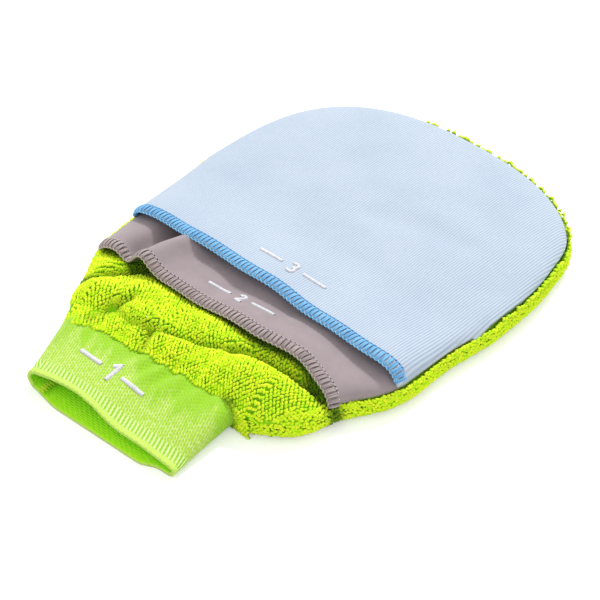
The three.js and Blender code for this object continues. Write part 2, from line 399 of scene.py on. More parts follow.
def spun(frames, turns, leans=None):
    # turn each frame about its own normal, then lean it
    cos, sin = np.cos(turns), np.sin(turns)
    out = frames.copy()
    out[:, :3, 0] = frames[:, :3, 0] * cos[:, None] + frames[:, :3, 1] * sin[:, None]
    out[:, :3, 1] = frames[:, :3, 1] * cos[:, None] - frames[:, :3, 0] * sin[:, None]
    if leans is not None:
        cos, sin = np.cos(leans), np.sin(leans)
        ahead, up = out[:, :3, 1].copy(), out[:, :3, 2].copy()
        out[:, :3, 1] = ahead * cos[:, None] + up * sin[:, None]
        out[:, :3, 2] = up * cos[:, None] - ahead * sin[:, None]
    return out


def heightFrames(height, x, station, turn=None):
    step = 0.25

    def onCloth(a, b):
        return toRow(a, b, height(a, b))

    across = onCloth(x + step, station) - onCloth(x - step, station)
    along = onCloth(x, station + step) - onCloth(x, station - step)
    ahead = along
    if turn is not None:
        ahead = across * np.cos(turn)[:, None] + along * np.sin(turn)[:, None]
    return framesAt(onCloth(x, station), np.cross(across, along), ahead)


def loopTemplate(span, thread, rise, steps, sides):
    # one loop of pile: a half ring of thread standing on its two ends
    ring = bmesh.new()
    place = Matrix.Translation((span * mm, 0, 0))
    bmesh.ops.create_circle(ring, cap_ends=False, radius=thread * mm, segments=sides, matrix=place)
    bmesh.ops.spin(
        ring, geom=ring.verts[:] + ring.edges[:], cent=(0, 0, 0), axis=(0, 1, 0),
        angle=-math.pi, steps=steps, use_merge=False,
    )
    bmesh.ops.holes_fill(ring, edges=[e for e in ring.edges if e.is_boundary])
    bmesh.ops.scale(ring, vec=(1, 1, rise), verts=ring.verts[:])
    bmesh.ops.rotate(ring, cent=(0, 0, 0), matrix=Matrix.Rotation(math.pi / 2, 3, "Z"), verts=ring.verts[:])
    bmesh.ops.recalc_face_normals(ring, faces=ring.faces[:])
    return freshMesh("loop", ring)


def tubeMesh(points, radius, cyclic=False):
    # thread along the points, closed at its ends
    line = bpy.data.curves.new("thread", "CURVE")
    line.dimensions = "3D"
    line.bevel_depth = radius
    line.bevel_resolution = 1
    line.use_fill_caps = True
    spline = line.splines.new("POLY")
    spline.points.add(len(points) - 1)
    for point, place in zip(spline.points, points):
        point.co = (*place, 1)
    spline.use_cyclic_u = cyclic
    holder = meshObject("thread", line)
    graph = bpy.context.evaluated_depsgraph_get()
    mesh = bpy.data.meshes.new_from_object(holder.evaluated_get(graph))
    bpy.data.objects.remove(holder)
    bpy.data.curves.remove(line)
    shadeSmooth(mesh)
    return mesh


def joinPieces(name, pieces):
    # several meshes as one piece, keeping their attributes and finishes
    bpy.context.view_layer.update()
    for piece in bpy.context.selected_objects:
        piece.select_set(False)
    for piece in pieces:
        piece.select_set(True)
    bpy.context.view_layer.objects.active = pieces[0]
    bpy.ops.object.join()
    pieces[0].name = name
    pieces[0].data.name = name
    return pieces[0]


def paint(piece, *finishes):
    piece.data.materials.clear()
    for finish in finishes:
        piece.data.materials.append(finish)
    return piece


def label(nodes):
    if nodes:
        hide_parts(*nodes)


def foldWithCuff(piece):
    # cloth and thread at the wrist turn gradually from the pocket to the cuff
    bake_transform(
        piece, "pocket", "cuff",
        start=(0, mouthY + foldLine["start"] * mm, 0), end=(0, mouthY + foldLine["end"] * mm, 0),
    )


def liftWithLayer(piece, body):
    # a layer bows up in the middle of its hem; its sides and tip stay sewn to the pocket
    tipY = mouthY + mittLength * mm
    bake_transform(piece, "pocket", body, start=(0, tipY, 0), end=(0, tipY - 0.03, 0))
    mesh = piece.data
    points = pointsOf(mesh) / mm
    station = points[:, 1] - mouthY / mm
    side = np.clip(np.abs(points[:, 0]) / (sideWidth(points[:, 0], station) - 1.5), 0, 1)
    weights = np.zeros(len(mesh.vertices), np.float32)
    carried = mesh.attributes["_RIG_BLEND"]
    carried.data.foreach_get("value", weights)
    carried.data.foreach_set("value", (weights * (1 - side ** 2) ** 1.25).astype(np.float32))


# Finishes

def newFinish(name, roughness, sheen=0.0, sheenTint=(1, 1, 1, 1), specular=0.25):
    finish = bpy.data.materials.new(name)
    finish.use_nodes = True
    shader = finish.node_tree.nodes["Principled BSDF"]
    shader.inputs["Roughness"].default_value = roughness
    shader.inputs["Sheen Weight"].default_value = sheen
    shader.inputs["Sheen Tint"].default_value = sheenTint
    shader.inputs["Specular IOR Level"].default_value = specular
    return finish, finish.node_tree, shader


def fillSocket(tree, socket, value):
    if isinstance(value, bpy.types.NodeSocket):
        tree.links.new(value, socket)
    else:
        socket.default_value = value


def addNode(tree, kind, inputs=None, **settings):
    node = tree.nodes.new(kind)
    for key, value in settings.items():
        setattr(node, key, value)
    for key, value in (inputs or {}).items():
        fillSocket(tree, node.inputs[key], value)
    return node


def mathNode(tree, operation, first, second=0.0, clamp=False):
    node = addNode(tree, "ShaderNodeMath", {0: first, 1: second}, operation=operation, use_clamp=clamp)
    return node.outputs[0]


def mixColor(tree, share, first, second):
    node = addNode(tree, "ShaderNodeMix", data_type="RGBA", blend_type="MIX")
    for socket, value in ((0, share), (6, first), (7, second)):
        fillSocket(tree, node.inputs[socket], value)
    return node.outputs[2]


def shareNode(tree, name):
    return addNode(tree, "ShaderNodeAttribute", attribute_name=name).outputs["Fac"]


def flatSpot(tree):
    return addNode(tree, "ShaderNodeUVMap", uv_map="cloth").outputs[0]


def scaled(tree, value, factor, clamp=False):
    return mathNode(tree, "MULTIPLY", value, factor, clamp)


def added(tree, first, second, clamp=False):
    return mathNode(tree, "ADD", first, second, clamp)


def rest(tree, value):
    return mathNode(tree, "SUBTRACT", 1.0, value)


def cloud(tree, spot, scale, detail, roughness=0.5):
    given = {"Vector": spot, "Scale": scale, "Detail": detail, "Roughness": roughness}
    return addNode(tree, "ShaderNodeTexNoise", given).outputs[0]


def drift(tree, spot, scale, detail, amount, roughness=0.5):
    # noise that swings evenly about zero
    return scaled(tree, mathNode(tree, "SUBTRACT", cloud(tree, spot, scale, detail, roughness), 0.5), amount)


def linear(red, green, blue):
    def channel(value):
        value /= 255
        return value / 12.92 if value <= 0.04045 else ((value + 0.055) / 1.055) ** 2.4
    return channel(red), channel(green), channel(blue), 1


def makeClothGroup():
    # fibre grain for any cloth: mottled colour and a fuzzy height
    group = bpy.data.node_groups.new("fibreGrain", "ShaderNodeTree")
    face = group.interface
    for name, kind, side in (
        ("Place", "NodeSocketVector", "INPUT"), ("Color", "NodeSocketColor", "INPUT"),
        ("Fineness", "NodeSocketFloat", "INPUT"), ("Mottle", "NodeSocketFloat", "INPUT"),
        ("Color", "NodeSocketColor", "OUTPUT"), ("Height", "NodeSocketFloat", "OUTPUT"),
    ):
        face.new_socket(name, in_out=side, socket_type=kind)
    given = addNode(group, "NodeGroupInput")
    result = addNode(group, "NodeGroupOutput")
    spot, fineness = given.outputs["Place"], given.outputs["Fineness"]
    fine = cloud(group, spot, fineness, 3, 0.7)
    coarse = cloud(group, spot, scaled(group, fineness, 0.045), 2)
    both = added(group, scaled(group, fine, 0.6), scaled(group, coarse, 0.4))
    centred = mathNode(group, "SUBTRACT", both, 0.5)
    shift = scaled(group, centred, given.outputs["Mottle"])
    level = added(group, shift, 1.0)
    tone = addNode(group, "ShaderNodeVectorMath", {0: given.outputs["Color"]}, operation="SCALE")
    group.links.new(level, tone.inputs["Scale"])
    group.links.new(tone.outputs[0], result.inputs["Color"])
    group.links.new(fine, result.inputs["Height"])
    return group


fibreGrain = makeClothGroup()


def grain(tree, spot, color, fineness, mottle):
    given = {"Place": spot, "Color": color, "Fineness": fineness, "Mottle": mottle}
    return addNode(tree, "ShaderNodeGroup", given, node_tree=fibreGrain)


def finishWith(tree, shader, fibres, height, strength, distance):
    tree.links.new(fibres.outputs["Color"], shader.inputs["Base Color"])
    given = {"Height": height, "Strength": strength, "Distance": distance * mm}
    relief = addNode(tree, "ShaderNodeBump", given)
    tree.links.new(relief.outputs[0], shader.inputs["Normal"])


def terryFinish(name, bright, rootShade, shade, deep):
    finish, tree, shader = newFinish(name, 0.92, sheen=0.25, sheenTint=linear(225, 245, 120))
    spot = addNode(tree, "ShaderNodeTexCoord").outputs["Object"]
    base = mixColor(tree, shareNode(tree, "tint"), bright, shade)
    # painted shade: the lower part of each loop darkens towards the root colour, as if shaded by its
    # neighbours
    low = mathNode(tree, "POWER", rest(tree, shareNode(tree, "lift")), 1.6)
    rootShaded = mixColor(tree, low, base, rootShade)
    # painted shade: loops in creases, at the neck corner and under the grey hem go towards the deep colour
    rootShaded = mixColor(tree, shareNode(tree, "valley"), rootShaded, deep)
    fibres = grain(tree, spot, rootShaded, 1900.0, 0.5)
    finishWith(tree, shader, fibres, fibres.outputs["Height"], 0.6, 0.15)
    return finish


def plainCloth(name, color, fineness, mottle, roughness, sheen, bumpHeight, cloudy=0.0):
    finish, tree, shader = newFinish(name, roughness, sheen=sheen)
    spot = flatSpot(tree)
    level = added(tree, drift(tree, spot, 9.0, 4, cloudy, 0.65), 1.0)
    tone = addNode(tree, "ShaderNodeVectorMath", {0: color[:3]}, operation="SCALE")
    tree.links.new(level, tone.inputs["Scale"])
    fibres = grain(tree, spot, tone.outputs[0], fineness, mottle)
    finishWith(tree, shader, fibres, fibres.outputs["Height"], 0.5, bumpHeight)
    return finish


def ribbedCloth(name, color, grooveShade, pitch):
    # lengthwise ribs in step with the modelled ones, broken by short floats; the rib grooves are painted
    # darker as shade, with random mottling towards the same darker colour
    finish, tree, shader = newFinish(name, 0.62, sheen=0.15, specular=0.35)
    spot = flatSpot(tree)
    axes = addNode(tree, "ShaderNodeSeparateXYZ", {0: spot})
    across = scaled(tree, axes.outputs[0], 100 / pitch)
    rib = mathNode(tree, "COSINE", scaled(tree, across, 2 * math.pi))
    valley = scaled(tree, rest(tree, rib), 0.5)
    stretched = addNode(tree, "ShaderNodeMapping", {"Vector": spot, "Scale": (9.0, 1.0, 1.0)})
    streak = cloud(tree, stretched.outputs[0], 26.0, 2)
    uneven = added(tree, scaled(tree, streak, 0.7), 0.55)
    depth = scaled(tree, scaled(tree, valley, uneven), 0.8, clamp=True)
    depth = added(tree, depth, drift(tree, spot, 2.6, 2, 0.5), clamp=True)
    toned = mixColor(tree, depth, color, grooveShade)
    fibres = grain(tree, spot, toned, 900.0, 0.10)
    height = mathNode(tree, "SUBTRACT", scaled(tree, fibres.outputs["Height"], 0.5), valley)
    finishWith(tree, shader, fibres, height, 0.45, 0.22)
    return finish


def threadFinish(name, color, shade, roughness=0.6, specular=0.35):
    finish, tree, shader = newFinish(name, roughness, sheen=0.1, specular=specular)
    spot = addNode(tree, "ShaderNodeTexCoord").outputs["Object"]
    # copies vary at random between colour and shade; painted shade then darkens the lower part of each copy,
    # and core threads marked low, towards the shade colour
    toned = mixColor(tree, shareNode(tree, "tint"), color, shade)
    shaded = mixColor(tree, scaled(tree, rest(tree, shareNode(tree, "lift")), 0.5), toned, shade)
    fibres = grain(tree, spot, shaded, 2600.0, 0.22)
    finishWith(tree, shader, fibres, fibres.outputs["Height"], 0.35, 0.1)
    return finish


def knitPattern(tree, spot, pitch, course, around):
    # wales broken into stitches; around turns them along the cuff's edge
    axes = addNode(tree, "ShaderNodeSeparateXYZ", {0: spot})
    first, second = (axes.outputs[1], axes.outputs[0]) if around else (axes.outputs[0], axes.outputs[1])
    across = scaled(tree, first, 100 / pitch)
    wale = mathNode(tree, "COSINE", scaled(tree, across, 2 * math.pi))
    column = mathNode(tree, "FLOOR", across)
    along = scaled(tree, second, 100 / course)
    slant = mathNode(tree, "ABSOLUTE", mathNode(tree, "SUBTRACT", mathNode(tree, "FRACT", across), 0.5))
    stagger = added(tree, added(tree, along, scaled(tree, column, 0.5)), slant)
    loop = mathNode(tree, "SINE", scaled(tree, stagger, 2 * math.pi))
    mixed = added(tree, scaled(tree, wale, 0.5), scaled(tree, loop, 0.5))
    return axes, mixed, added(tree, mixed, drift(tree, spot, 60.0, 3, 2.6))


def ramp(tree, value, low, high):
    node = addNode(tree, "ShaderNodeMapRange", {0: value, 1: low, 2: high}, interpolation_type="SMOOTHSTEP")
    return node.outputs[0]


def cuffFinish(name, settings):
    s = settings
    finish, tree, shader = newFinish(name, 0.85, sheen=0.2, sheenTint=linear(235, 250, 190))
    spot = flatSpot(tree)
    axes, mixed, level = knitPattern(tree, spot, s["pitch"], s["course"], s["around"])
    toned = mixColor(tree, scaled(tree, level, s["share"], clamp=True), s["color"], s["stitch"])
    station = scaled(tree, axes.outputs[1], 100)
    if "deep" in s:
        pulled = addNode(tree, "ShaderNodeMapping", {"Vector": spot, "Scale": (3.2, 1.0, 1.0)}).outputs[0]
        gathered = ramp(tree, added(tree, station, drift(tree, pulled, 6.0, 3, 48.0)), 14.0, 33.0)
        toned = mixColor(tree, scaled(tree, gathered, 0.8), toned, s["deep"])
        turn = scaled(tree, axes.outputs[0], 100 / s["ribPitch"] * 2 * math.pi)
        dash = ramp(tree, mathNode(tree, "COSINE", turn), -0.35, 0.35)
        ribbed = mixColor(tree, dash, s["gap"], s["dash"])
        bandEnd = rest(tree, ramp(tree, station, s["band"] - 1.5, s["band"]))
        band = scaled(tree, ramp(tree, station, 2.5, 3.3), bandEnd)
        toned = mixColor(tree, scaled(tree, band, 0.85), toned, ribbed)
        rim = rest(tree, ramp(tree, station, 2.2, 2.9))
        toned = mixColor(tree, scaled(tree, rim, 0.8), toned, s["rim"])
    fibres = grain(tree, spot, toned, 700.0, 0.25)
    height = added(tree, mixed, scaled(tree, fibres.outputs["Height"], 0.4))
    finishWith(tree, shader, fibres, height, 0.5, 0.3)
    return finish


knitOutside = {
    "color": linear(166, 206, 56), "stitch": linear(214, 232, 158), "deep": linear(144, 202, 14),
    "gap": linear(144, 202, 28), "dash": linear(220, 242, 160), "rim": linear(198, 230, 100),
    "pitch": 1.25, "course": 1.7, "around": False, "share": 1.15, "ribPitch": 1.9, "band": 8.6,
}
# inside face: the plaited knit's own green back, made brighter and more saturated as painted reflected light
# bounced inside the cuff
knitInside = {
    "color": linear(176, 255, 6), "stitch": linear(218, 255, 80),
    "pitch": 0.9, "course": 3.0, "around": True, "share": 0.5,
}

finishes = {
    # pile colours: bright and shade are mixed at random per loop; root and deep are painted shade at the loop
    # roots and in creases
    "pile": terryFinish(
        "terryPile", linear(246, 255, 52), linear(96, 184, 0), linear(206, 250, 24), linear(16, 88, 0)),
    "ground": plainCloth("terryGround", linear(130, 200, 4), 300.0, 0.5, 0.95, 0.0, 0.3),
    "grey": plainCloth("suedeCloth", linear(152, 139, 142), 260.0, 0.5, 0.9, 0.25, 0.12, 0.3),
    "blue": ribbedCloth(
        "ribbedCloth", linear(188, 200, 213), linear(142, 160, 184), layers["blue"]["ribPitch"]),
    "knit": cuffFinish("cuffKnit", knitOutside),
    "knitInside": cuffFinish("cuffKnitInside", knitInside),
    "greyThread": threadFinish("greyThread", linear(180, 165, 163), linear(88, 74, 78)),
    "greyNeedle": threadFinish("greyNeedleThread", linear(208, 196, 198), linear(150, 138, 142)),
    "blueThread": threadFinish("blueThread", linear(128, 192, 232), linear(48, 124, 188)),
    "greenThread": threadFinish("greenThread", linear(226, 240, 40), linear(160, 210, 20)),
    "whiteThread": threadFinish("whiteThread", linear(232, 232, 236), linear(168, 168, 180), 0.45, 0.5),
    "holeShade": plainCloth("needleHoleShade", linear(40, 32, 38), 300.0, 0.3, 0.95, 0.0, 0.05),
    "blueHoleShade": plainCloth("blueNeedleHoleShade", linear(24, 80, 136), 300.0, 0.3, 0.95, 0.0, 0.05),
}
print("finishes made")


# Terry panels

def clothSpot(swing, station):
    # plan position of a panel point, its first row following the neck line
    start = neckLine(0)
    rough = swing * sideWidth(swing, station)
    shift = (neckLine(rough) - start) * (1 - smooth(start, start + 25, station))
    station = station + shift
    x = swing * (sideWidth(swing, station) - outline["selvage"])
    return x, station - outline["selvage"] * smooth(mittLength - 20, mittLength, station)


def panelStation(rows):
    # rows lie closer together at the neck and at the tip
    start = neckLine(0)
    return start + (mittLength - start) * (1 - (1 - rows ** 0.8) ** 1.35)


def frontPlace(u, v):
    x, station = clothSpot(np.sin(u * math.pi / 2), panelStation(v))
    z = frontHeight(x * 0.999, station) - terry["pile"]
    return toRow(x, station, z), np.stack([x, station], axis=-1)


def makeGround(name, grid, carry, inward):
    ground = meshObject(name, gridMesh(name, *grid, carry))
    paint(ground, finishes["ground"])
    shadeSmooth(ground.data)
    thicken(ground, terry["wall"], inward=inward)
    return ground


def backPlace(u, v):
    swing = np.sin(u * math.pi / 2)
    x, station = clothSpot(swing, panelStation(v))
    side = np.abs(swing)
    reach = np.clip((station - outline["wideStation"]) / (mittLength - outline["wideStation"]), 0, 1)
    edge = np.sqrt(np.maximum(0, (1 - side ** 18) * (1 - reach ** 18)))
    z = terry["seamHeight"] - 0.3 - (terry["seamHeight"] - 1.6) * edge
    return toRow(x, station, z), np.stack([x, station], axis=-1)


frontGround = makeGround("front_terry_ground", terry["frontGrid"], frontPlace, True)
backGround = makeGround("back_terry_ground", terry["backGrid"], backPlace, False)

pile = {
    "pitch": 1.5, "row": 1.36, "span": 0.66, "thread": 0.66, "rise": 1.35, "sink": 0.3,
    "turn": 0.8, "lean": 0.22, "jitter": 0.17, "steep": 0.8,
    "rimPitch": 1.45, "rimReach": 4.4, "rimStart": -10.5,
    "rimUp": (5, 18, 31, 44, 57, 72), "rimDown": (-8, -22, -36, -50, -64, -80),
    "underPitch": 1.9, "underRow": 2.0, "underHeight": 1.5,
    "coveredPitch": 1.75, "coveredDepth": 46, "flatLoop": (0.95, 0.62, 0.85),
}
peek = {
    "spacing": 1.7, "fromStation": 150, "leftEnd": -30, "share": 0.8,
    "inset": (0.7, 1.5), "height": (10.2, 11.6),
}
neckWall = {"sides": ((-58, -35), (36, 54)), "low": 0.9, "high": 24}


def staggered(across, along, pitch, row):
    # an even grid with every other row set half a pitch aside
    x, y = np.meshgrid(np.arange(*across, pitch), np.arange(*along, row))
    x = x + (np.arange(x.shape[0])[:, None] % 2) * pitch / 2
    return x.ravel(), y.ravel()


def sideways(points):
    # plan directions as directions in space
    return np.concatenate([points, np.zeros((len(points), 1))], axis=1)


def sunkFrames(frames, depth):
    frames = frames.copy()
    frames[:, :3, 3] -= frames[:, :3, 2] * depth * mm
    return frames


def perimeter(spacing, start=1.0):
    # even points round the sides and tip, with their outward directions
    run = np.linspace(0, 1, 600)
    first = neckStation + start
    station = first + (mittLength - first) * (1 - (1 - run) ** 2.2)
    right = np.stack([sideWidth(np.ones(600), station), station], axis=-1)
    left = np.stack([-sideWidth(-np.ones(600), station), station], axis=-1)[::-1]
    path = np.concatenate([right, left])
    length = np.concatenate([[0], np.cumsum(np.hypot(*np.diff(path, axis=0).T))])
    steps = np.arange(0, length[-1], spacing)
    points = np.stack([np.interp(steps, length, path[:, i]) for i in range(2)], axis=-1)
    ahead = unit(np.gradient(points, axis=0))
    return points, np.stack([ahead[:, 1], -ahead[:, 0]], axis=-1), ahead


def rimFrames(angles, rng):
    points, outward, ahead = perimeter(pile["rimPitch"], pile["rimStart"])
    keep = points[:, 1] > neckLine(points[:, 0]) - 0.7
    points, outward, ahead = points[keep], outward[keep], ahead[keep]
    made = []
    reach, high = pile["rimReach"], terry["seamHeight"] - 1.2
    for row, angle in enumerate(math.radians(a) for a in angles):
        shift = rng.uniform(-0.35, 0.35, len(points)) + (row % 2) * 0.5
        angle = angle + rng.uniform(-0.1, 0.1, len(points))
        spots = points + ahead * (shift * pile["rimPitch"])[:, None]
        bare = 1 - smooth(greyHem - 2, greyHem + 8, spots[:, 1])
        pull = np.where(angle > 0, reach * bare + 1.1 * (1 - bare), reach)
        spots = spots - outward * (1.2 + pull * (1 - np.cos(angle)))[:, None]
        z = terry["seamHeight"] + (high + (angle > 0) * (0.4 + 0.5 * bare)) * np.sin(angle)
        places = toRow(spots[:, 0], spots[:, 1], z)
        normals = np.concatenate([outward * np.cos(angle)[:, None], np.sin(angle)[:, None]], axis=1)
        made.append(framesAt(places, normals, sideways(ahead))[(angle < 1.1) | (bare > 0.5)])
    return np.concatenate(made)


def creaseShadeShare(frames):
    # painted shade for each loop: more the further down in a crease it stands, and more at the neck corner
    # beside the cuff and just under the grey hem
    x = frames[:, 0, 3] / mm
    station = (frames[:, 1, 3] - mouthY) / mm
    share = 0.12 * ridges(x, station, terry["creases"])
    corner = smooth(30, 36, x) * (1 - smooth(37, 42, x))
    share += 0.6 * corner * (1 - smooth(0.6, 2.4, station - neckLine(x)))
    hidden = (np.abs(x) < sideWidth(x, station) - 5) & (station < greyHem + 12)
    share += 0.85 * smooth(-2.2, 0.8, station - hemStation("grey", x)) * hidden
    return np.clip(share, 0, 0.85)


def peekFrames(rng):
    # loose loops that stand past the layers round the tip
    points, outward, ahead = perimeter(peek["spacing"])
    keep = (points[:, 1] > peek["fromStation"]) & (points[:, 0] > peek["leftEnd"])
    keep &= rng.uniform(0, 1, len(points)) < peek["share"]
    points, outward, ahead = points[keep], outward[keep], ahead[keep]
    spots = points - outward * rng.uniform(*peek["inset"], len(points))[:, None]
    z = rng.uniform(*peek["height"], len(points))
    normals = np.concatenate([outward * 0.75, np.full((len(points), 1), 0.66)], axis=1)
    return framesAt(toRow(spots[:, 0], spots[:, 1], z), normals, sideways(ahead))


def makePile(name, frames, template, rng):
    turns = rng.uniform(-pile["turn"], pile["turn"], len(frames))
    leans = rng.uniform(-pile["lean"], pile["lean"], len(frames))
    frames = spun(frames, turns, leans)
    sizes = rng.uniform(0.88, 1.14, len(frames))
    frames[:, :3, :3] *= sizes[:, None, None]
    made = copiesOf(name, template, frames, rng.uniform(0, 1, len(frames)), creaseShadeShare(frames))
    return paint(made, finishes["pile"])


def topPileFrames(rng):
    # rows an even distance apart along the cloth, however steep it is
    across = np.arange(-78, 78, pile["pitch"] / 2)
    fine = np.arange(neckLine(-60) - 1, greyHem + 14, pile["row"] / 8)
    x, station = np.meshgrid(across, fine, indexing="ij")
    height = frontHeight(x, station)
    steps = np.hypot(np.diff(station, axis=1), np.diff(height, axis=1))
    x, station = x[:, 1:], station[:, 1:]
    onCloth = station > neckLine(x) + 0.2
    row = np.floor(np.cumsum(steps * onCloth, axis=1) / pile["row"] + 0.99)
    fresh = np.diff(row, axis=1, prepend=0) > 0
    slope = np.abs(frontHeight(x + 0.5, station) - frontHeight(x - 0.5, station))
    turn = np.arange(len(across))[:, None] % 2
    keep = fresh & onCloth & (((row + turn) % 2 == 0) | (slope > pile["steep"]))
    x, station = x[keep], station[keep]
    x = x + rng.uniform(-1, 1, len(x)) * pile["jitter"]
    station = station + rng.uniform(-1, 1, len(x)) * pile["jitter"] * 0.5
    keep = np.abs(x) < sideWidth(x, station) - 3.2
    x, station = x[keep], station[keep]
    return heightFrames(pileHeight, x, station)


def neckWallFrames(rng):
    # the pile turns down round the neck edge on either side of the cuff
    made = []
    for sides in neckWall["sides"]:
        x, z = staggered(sides, (neckWall["low"], neckWall["high"]), pile["pitch"], pile["row"])
        z = z + rng.uniform(-1, 1, x.size) * pile["jitter"]
        station = neckLine(x) + 0.25
        keep = (z < frontHeight(x, station + 1) - 1.0) & (np.abs(x) < sideWidth(x, station) + 0.2)
        x, z, station = x[keep], z[keep], station[keep]
        ahead = np.tile([1.0, 0.0, 0.0], (len(x), 1))
        outward = np.tile([0.12 * np.sign(sides[0]), -1.0, 0.1], (len(x), 1))
        made.append(framesAt(toRow(x, station, z), outward, ahead))
    return np.concatenate(made)


def pileHeight(x, station):
    return frontHeight(x, station) - terry["pile"]


def underPileFrames(rng):
    x, station = staggered((-88, 88), (neckStation - 1, mittLength), pile["underPitch"], pile["underRow"])
    x = x + rng.uniform(-1, 1, len(x)) * pile["jitter"]
    keep = (np.abs(x) < sideWidth(x, station) - 4.5) & (station < mittLength - 4.5)
    keep &= station > neckLine(x) + 0.6
    x, station = x[keep], station[keep]
    points = toRow(x, station, np.full(len(x), pile["underHeight"]))
    down = np.tile([0.0, 0.0, -1.0], (len(x), 1))
    along = np.tile([0.0, 1.0, 0.0], (len(x), 1))
    return framesAt(points, down, along)


def coveredPileFrames(rng):
    # the part of the front terry seen when the layers are lifted
    pitch = pile["coveredPitch"]
    x, station = staggered((-84, 84), (greyHem + 9, greyHem + pile["coveredDepth"]), pitch, pitch)
    station = station + rng.uniform(-1, 1, x.size) * pile["jitter"]
    keep = np.abs(x) < sideWidth(x, station) - 5.0
    return heightFrames(pileHeight, x[keep], station[keep])


rng = np.random.default_rng(7)
tallLoop = loopTemplate(pile["span"], pile["thread"], pile["rise"], 3, 4)
flatLoop = loopTemplate(*pile["flatLoop"], 3, 3)
frontFrames = topPileFrames(rng)
rimUp = np.concatenate([rimFrames(pile["rimUp"], rng), peekFrames(rng), neckWallFrames(rng)])
frontPile = makePile("front_terry_pile", sunkFrames(frontFrames, pile["sink"]), tallLoop, rng)
frontRim = makePile("front_terry_rim_pile", sunkFrames(rimUp, pile["sink"]), tallLoop, rng)
rimDown = sunkFrames(rimFrames(pile["rimDown"], rng), pile["sink"])
backRim = makePile("back_terry_rim_pile", rimDown, tallLoop, rng)
coveredPile = makePile("front_terry_covered_pile", coveredPileFrames(rng), flatLoop, rng)
underPile = makePile("back_terry_under_pile", underPileFrames(rng), flatLoop, rng)
print("terry made", len(frontFrames), "front loops")


# Polishing and glass layers

def layerPlace(layer):
    s = layers[layer]
    inset = s["inset"]
    rising = np.linspace(s["hem"] - 3, outline["wideStation"] - 10, 200)
    tipRun = 1 - np.linspace(0, 1, 300) ** 2
    reach = (mittHalf - inset) * (1 - tipRun ** outline["tipRound"]) ** (1 / outline["sideRound"])
    tipStations = outline["wideStation"] + (mittLength - inset - outline["wideStation"]) * tipRun

    def carry(u, v):
        side = np.where(u < 0, -1.0, 1.0)
        x = u * 1.0
        start = np.zeros_like(x)
        end = np.zeros_like(x)
        for sign in (-1.0, 1.0):
            part = side == sign
            narrowed = reach + sideWidth(sign, tipStations) - halfWidth(tipStations)
            x[part] = u[part] * narrowed.max() * 0.996
            start[part] = np.interp(np.abs(x[part]), layerEdge(sign, rising, inset), rising)
            end[part] = np.interp(np.abs(x[part]), np.maximum.accumulate(narrowed), tipStations)
        start = np.maximum(hemStation(layer, x), start)
        station = start + (end - start) * (1 - (1 - v) ** 1.5)
        z = tops[layer](x, station)
        if "ribPitch" in s:
            z = z + s["ribHeight"] * np.cos(x * 2 * math.pi / s["ribPitch"])
        return toRow(x, station, z), np.stack([x, station], axis=-1)

    return carry


def makeLayer(name, layer):
    s = layers[layer]
    sheet = meshObject(name, gridMesh(name, *s["grid"], layerPlace(layer)))
    paint(sheet, finishes[layer])
    shadeSmooth(sheet.data)
    thicken(sheet, s["thick"])
    return sheet


greySheet = makeLayer("polishing_cloth", "grey")
blueSheet = makeLayer("glass_cloth", "blue")
print("layers made")


# Overlocked hems

overlock = {
    "width": 4.3, "pitch": 2.15, "strand": 0.3, "strands": 3, "spread": 0.47, "slant": 0.35,
    "needleInset": 5.0, "needleRadius": 0.17, "needleSteps": 8, "purlRadius": 0.32, "purlSteps": 6,
}


def strandTemplate(width, radius, slant, half):
    # one looper thread: from the needle line, over the cloth edge and back underneath
    o = half + radius * 0.9
    path = [
        (slant, width + 0.3, half - 0.15), (slant * 0.9, width - 0.6, o + 0.1),
        (slant * 0.5, width * 0.5, o + 0.3), (slant * 0.15, 0.8, o + 0.1),
        (0, -0.25, half * 0.6), (0, -0.25, -half * 0.6), (0, 0.7, -o),
        (-slant * 0.5, width * 0.55, -o), (-slant * 0.8, width - 0.6, -half),
    ]
    return tubeMesh([Vector(p) * mm for p in path], radius * mm)


def hemFrames(layer, x, inset=0.0):
    station = hemStation(layer, x) + inset
    frames = heightFrames(tops[layer], x, station)
    side = unit(np.gradient(frames[:, :3, 3], axis=0))
    frames[:, :3, 0] = side
    frames[:, :3, 1] = unit(np.cross(frames[:, :3, 2], side))
    return frames


def hemRun(layer, spacing):
    # even steps along the hem, measured on the cloth
    s = layers[layer]
    low = -float(layerEdge(-1, s["hem"] + 1, s["inset"])) + 0.8
    high = float(layerEdge(1, s["hem"] + 1, s["inset"])) - 0.8
    x = np.linspace(low, high, 800)
    points = toRow(x, hemStation(layer, x), tops[layer](x, hemStation(layer, x)))
    length = np.concatenate([[0], np.cumsum(np.linalg.norm(np.diff(points, axis=0), axis=1))]) / mm
    count = int(length[-1] / spacing)
    return np.interp(np.linspace(0, length[-1], count + 1), length, x)


